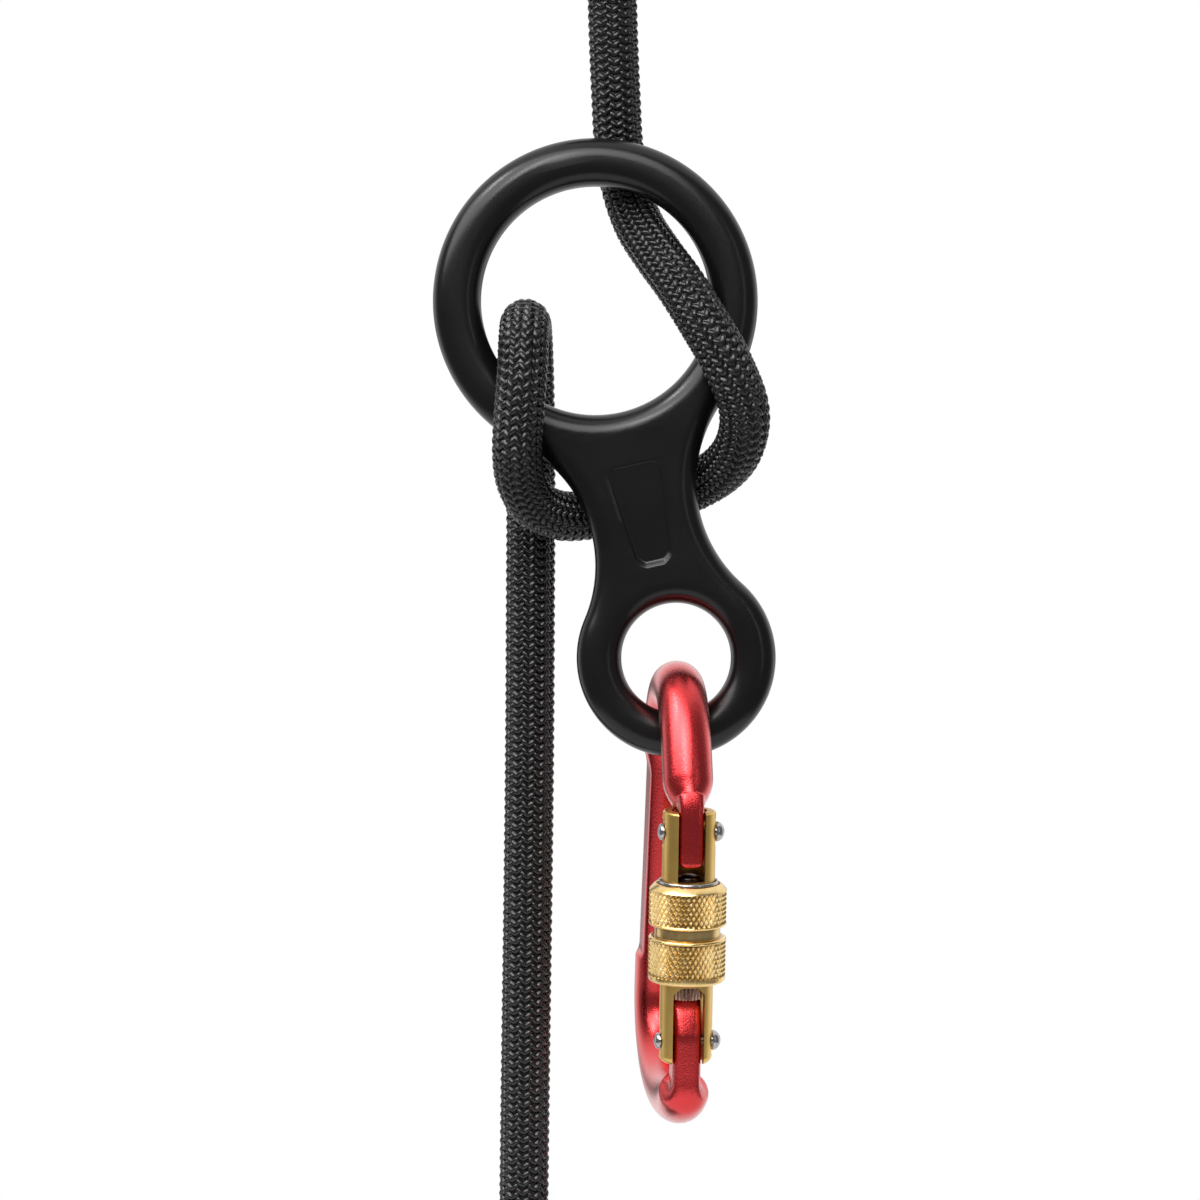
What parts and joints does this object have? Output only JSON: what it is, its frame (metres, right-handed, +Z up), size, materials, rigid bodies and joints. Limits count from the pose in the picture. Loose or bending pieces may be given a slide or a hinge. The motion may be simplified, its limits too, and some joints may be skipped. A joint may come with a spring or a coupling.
{
  "type": "figure eight descender",
  "caption": "Figure eight descender hanging on a rigged rope, with a screw gate connector in its small eye.",
  "frame": {"origin": "the top of the upper rope eye's inside, where the anchor holds it", "axes": "+Z up along the hanging rope, +X across the eight to the right of its marked face, +Y out of the eight's back"},
  "size_m": [0.0806, 0.0643, 0.4246],
  "materials": {
    "black_anodised_aluminium": "satin black anodised",
    "red_anodised_aluminium": "bright red anodised",
    "rope_sheath": "braided sheath",
    "shrink_tube": "smooth heat shrink",
    "gate_brass": "turned satin",
    "sleeve_brass": "knurled, bright",
    "pin_steel": "polished"
  },
  "bodies": {
    "rig": {"descender": "black_anodised_aluminium", "rope": "rope_sheath", "upper_eye_sleeve": "shrink_tube", "upper_eye": "rope_sheath", "lower_eye_sleeve": "shrink_tube", "lower_eye": "rope_sheath"},
    "connector": {"connector_body": "red_anodised_aluminium"},
    "gate": {"gate_barrel": "gate_brass", "latch_pin": "pin_steel", "hinge_rivet": "pin_steel", "spring_plug": "pin_steel", "gate_spring": "pin_steel"},
    "driver": {"gate_driver": "pin_steel"},
    "sleeve": {"locking_sleeve": "sleeve_brass", "sleeve_ring": "pin_steel"}
  },
  "joints": [
    {"name": "connector_swing", "type": "hinge", "parent": "rig", "child": "connector", "pos_m": [0.0215, -0.0124, -0.23233], "axis": [1, 0, 0], "range_deg": [-60, 60]},
    {"name": "gate_hinge", "type": "hinge", "parent": "connector", "child": "gate", "pos_m": [0.02317, -0.026, -0.30263], "axis": [-0.9925, -0.1219, 0], "range_deg": [0, 26], "stiffness_Nm_per_rad": 0.3, "springref_deg": -22.92},
    {"name": "sleeve_screw", "type": "slide", "parent": "gate", "child": "sleeve", "axis": [0.0149, -0.121, 0.9925], "range_m": [0, 0.0085]},
    {"name": "driver_slide", "type": "slide", "parent": "gate", "child": "driver", "axis": [0.0149, -0.121, 0.9925], "range_m": [0, 0.0015], "deforming": ["gate_spring"]}
  ],
  "couplings": [
    {"joint": "driver_slide", "follows": "gate_hinge", "m_per_rad": 0.003}
  ]
}
